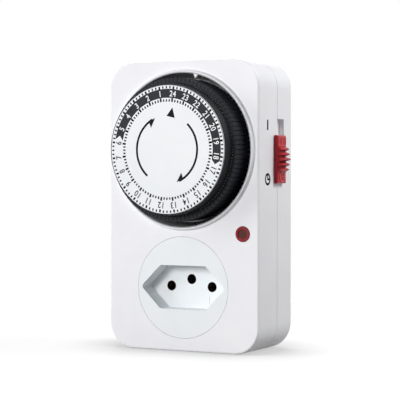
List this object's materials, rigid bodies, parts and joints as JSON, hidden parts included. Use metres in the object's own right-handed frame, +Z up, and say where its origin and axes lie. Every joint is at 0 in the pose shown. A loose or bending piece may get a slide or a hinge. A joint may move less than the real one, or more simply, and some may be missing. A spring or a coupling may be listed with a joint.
{
  "type": "plug in timer switch",
  "caption": "Plug-in mechanical timer switch with a round push-tappet programme dial, a recessed hexagonal socket in front, an override slide at the side and plug pins behind.",
  "frame": {"origin": "middle of the case's flat bottom face, half way through the case's depth", "axes": "+Z up, +X to the right and +Y away from someone who faces the dial, along the plug pins"},
  "size_m": [0.073, 0.0736, 0.119],
  "materials": {
    "white_case": "satin moulded",
    "dial_print": "printed, smooth",
    "white_drum": "moulded",
    "charcoal": "satin moulded",
    "black_plastic": "moulded",
    "red_plastic": "satin moulded",
    "red_lens": "clear tinted, glossy",
    "natural_plastic": "moulded",
    "grey_plastic": "moulded",
    "button_plastic": "moulded",
    "screw_steel": "zinc plated",
    "zinc_steel": "zinc plated",
    "contact_brass": "rolled strip",
    "nickel_brass": "nickel plated",
    "copper_wire": "enamelled winding",
    "ferrite": "sintered",
    "neon_glass": "clear",
    "resistor_ceramic": "dipped"
  },
  "bodies": {
    "housing": {"case_screws": "screw_steel", "contact_carrier": "grey_plastic", "dial_bowl": "charcoal", "dial_screw": "screw_steel", "dial_washer": "screw_steel", "earth_contact": "contact_brass", "follower_pin": "screw_steel", "front_housing": "white_case", "gear_arbors": "screw_steel", "lamp_resistor": "resistor_ceramic", "live_contact": "contact_brass", "microswitch_case": "grey_plastic", "microswitch_terminals": "contact_brass", "motor_bobbin": "natural_plastic", "motor_can": "zinc_steel", "motor_claws": "zinc_steel", "motor_winding": "copper_wire", "movement_plate": "zinc_steel", "neon_lamp": "neon_glass", "neutral_contact": "contact_brass", "pilot_lens": "red_lens", "plug_pins": "nickel_brass", "rear_housing": "white_case", "small_screws": "screw_steel", "socket_insert": "white_case", "supply_strap": "contact_brass"},
    "dial": {"dial_carrier": "white_drum", "dial_knob": "black_plastic", "dial_face": "dial_print"},
    "output": {"output_shaft": "screw_steel", "output_pinion": "natural_plastic", "clutch_clip": "screw_steel"},
    "clutch": {"clutch_wheel": "natural_plastic"},
    "rotor": {"rotor_magnet": "ferrite", "rotor_shaft": "screw_steel"},
    "first_wheel": {"wheel_1": "natural_plastic"},
    "second_wheel": {"wheel_2": "natural_plastic"},
    "third_wheel": {"wheel_3": "natural_plastic"},
    "fourth_wheel": {"wheel_4": "natural_plastic"},
    "follower": {"follower_lever": "natural_plastic"},
    "button": {"microswitch_button": "button_plastic"},
    "slider": {"override_slider": "white_case", "override_knob": "red_plastic", "override_bridge": "contact_brass"},
    "block_00_02": {"tappets_00_02": "black_plastic"},
    "block_02_04": {"tappets_02_04": "black_plastic"},
    "block_04_06": {"tappets_04_06": "black_plastic"},
    "block_06_08": {"tappets_06_08": "black_plastic"},
    "block_08_10": {"tappets_08_10": "black_plastic"},
    "block_10_12": {"tappets_10_12": "black_plastic"},
    "block_12_14": {"tappets_12_14": "black_plastic"},
    "block_14_16": {"tappets_14_16": "black_plastic"},
    "block_16_18": {"tappets_16_18": "black_plastic"},
    "block_18_20": {"tappets_18_20": "black_plastic"},
    "block_20_22": {"tappets_20_22": "black_plastic"},
    "block_22_24": {"tappets_22_24": "black_plastic"}
  },
  "joints": [
    {"name": "dial_turn", "type": "hinge", "parent": "housing", "child": "dial", "pos_m": [0, -0.0128, 0.0825], "axis": [0, 1, 0], "continuous": true},
    {"name": "output_spin", "type": "hinge", "parent": "housing", "child": "output", "pos_m": [0.01016, -0.0068, 0.06299], "axis": [0, 1, 0], "continuous": true},
    {"name": "rotor_spin", "type": "hinge", "parent": "housing", "child": "rotor", "pos_m": [-0.0088, 0.0042, 0.07126], "axis": [0, 1, 0], "continuous": true},
    {"name": "first_wheel_spin", "type": "hinge", "parent": "housing", "child": "first_wheel", "pos_m": [-0.01653, -0.0008, 0.06798], "axis": [0, 1, 0], "continuous": true},
    {"name": "second_wheel_spin", "type": "hinge", "parent": "housing", "child": "second_wheel", "pos_m": [-0.00683, -0.0008, 0.06483], "axis": [0, 1, 0], "continuous": true},
    {"name": "third_wheel_spin", "type": "hinge", "parent": "housing", "child": "third_wheel", "pos_m": [-0.00533, -0.0008, 0.07552], "axis": [0, 1, 0], "continuous": true},
    {"name": "fourth_wheel_spin", "type": "hinge", "parent": "housing", "child": "fourth_wheel", "pos_m": [0.00787, -0.0008, 0.07599], "axis": [0, 1, 0], "continuous": true},
    {"name": "clutch_spin", "type": "hinge", "parent": "housing", "child": "clutch", "pos_m": [0.01016, -0.0008, 0.06299], "axis": [0, 1, 0], "continuous": true},
    {"name": "push_00_02", "type": "slide", "parent": "dial", "child": "block_00_02", "axis": [0, 1, 0], "range_m": [0, 0.003]},
    {"name": "push_02_04", "type": "slide", "parent": "dial", "child": "block_02_04", "axis": [0, 1, 0], "range_m": [0, 0.003]},
    {"name": "push_04_06", "type": "slide", "parent": "dial", "child": "block_04_06", "axis": [0, 1, 0], "range_m": [0, 0.003]},
    {"name": "push_06_08", "type": "slide", "parent": "dial", "child": "block_06_08", "axis": [0, 1, 0], "range_m": [0, 0.003]},
    {"name": "push_08_10", "type": "slide", "parent": "dial", "child": "block_08_10", "axis": [0, 1, 0], "range_m": [0, 0.003]},
    {"name": "push_10_12", "type": "slide", "parent": "dial", "child": "block_10_12", "axis": [0, 1, 0], "range_m": [0, 0.003]},
    {"name": "push_12_14", "type": "slide", "parent": "dial", "child": "block_12_14", "axis": [0, 1, 0], "range_m": [0, 0.003]},
    {"name": "push_14_16", "type": "slide", "parent": "dial", "child": "block_14_16", "axis": [0, 1, 0], "range_m": [0, 0.003]},
    {"name": "push_16_18", "type": "slide", "parent": "dial", "child": "block_16_18", "axis": [0, 1, 0], "range_m": [0, 0.003]},
    {"name": "push_18_20", "type": "slide", "parent": "dial", "child": "block_18_20", "axis": [0, 1, 0], "range_m": [0, 0.003]},
    {"name": "push_20_22", "type": "slide", "parent": "dial", "child": "block_20_22", "axis": [0, 1, 0], "range_m": [0, 0.003]},
    {"name": "push_22_24", "type": "slide", "parent": "dial", "child": "block_22_24", "axis": [0, 1, 0], "range_m": [0, 0.003]},
    {"name": "follower_rock", "type": "hinge", "parent": "housing", "child": "follower", "pos_m": [0.00459, -0.0038, 0.09087], "axis": [-1, 0, 0], "range_deg": [0, 9.1]},
    {"name": "button_press", "type": "slide", "parent": "housing", "child": "button", "axis": [0, 1, 0], "range_m": [0, 0.0018]},
    {"name": "override_slide", "type": "slide", "parent": "housing", "child": "slider", "axis": [0, 0, 1], "range_m": [0, 0.0066]}
  ],
  "couplings": [
    {"joint": "output_spin", "follows": "dial_turn", "ratio": 12},
    {"joint": "first_wheel_spin", "follows": "rotor_spin", "ratio": -0.16667},
    {"joint": "second_wheel_spin", "follows": "rotor_spin", "ratio": 0.022222},
    {"joint": "third_wheel_spin", "follows": "rotor_spin", "ratio": -0.0027778},
    {"joint": "fourth_wheel_spin", "follows": "rotor_spin", "ratio": 0.00027778},
    {"joint": "clutch_spin", "follows": "rotor_spin", "ratio": -0.000027778},
    {"joint": "follower_rock", "follows": "push_22_24", "rad_per_m": 52.667},
    {"joint": "button_press", "follows": "push_22_24", "ratio": 0.58333}
  ]
}
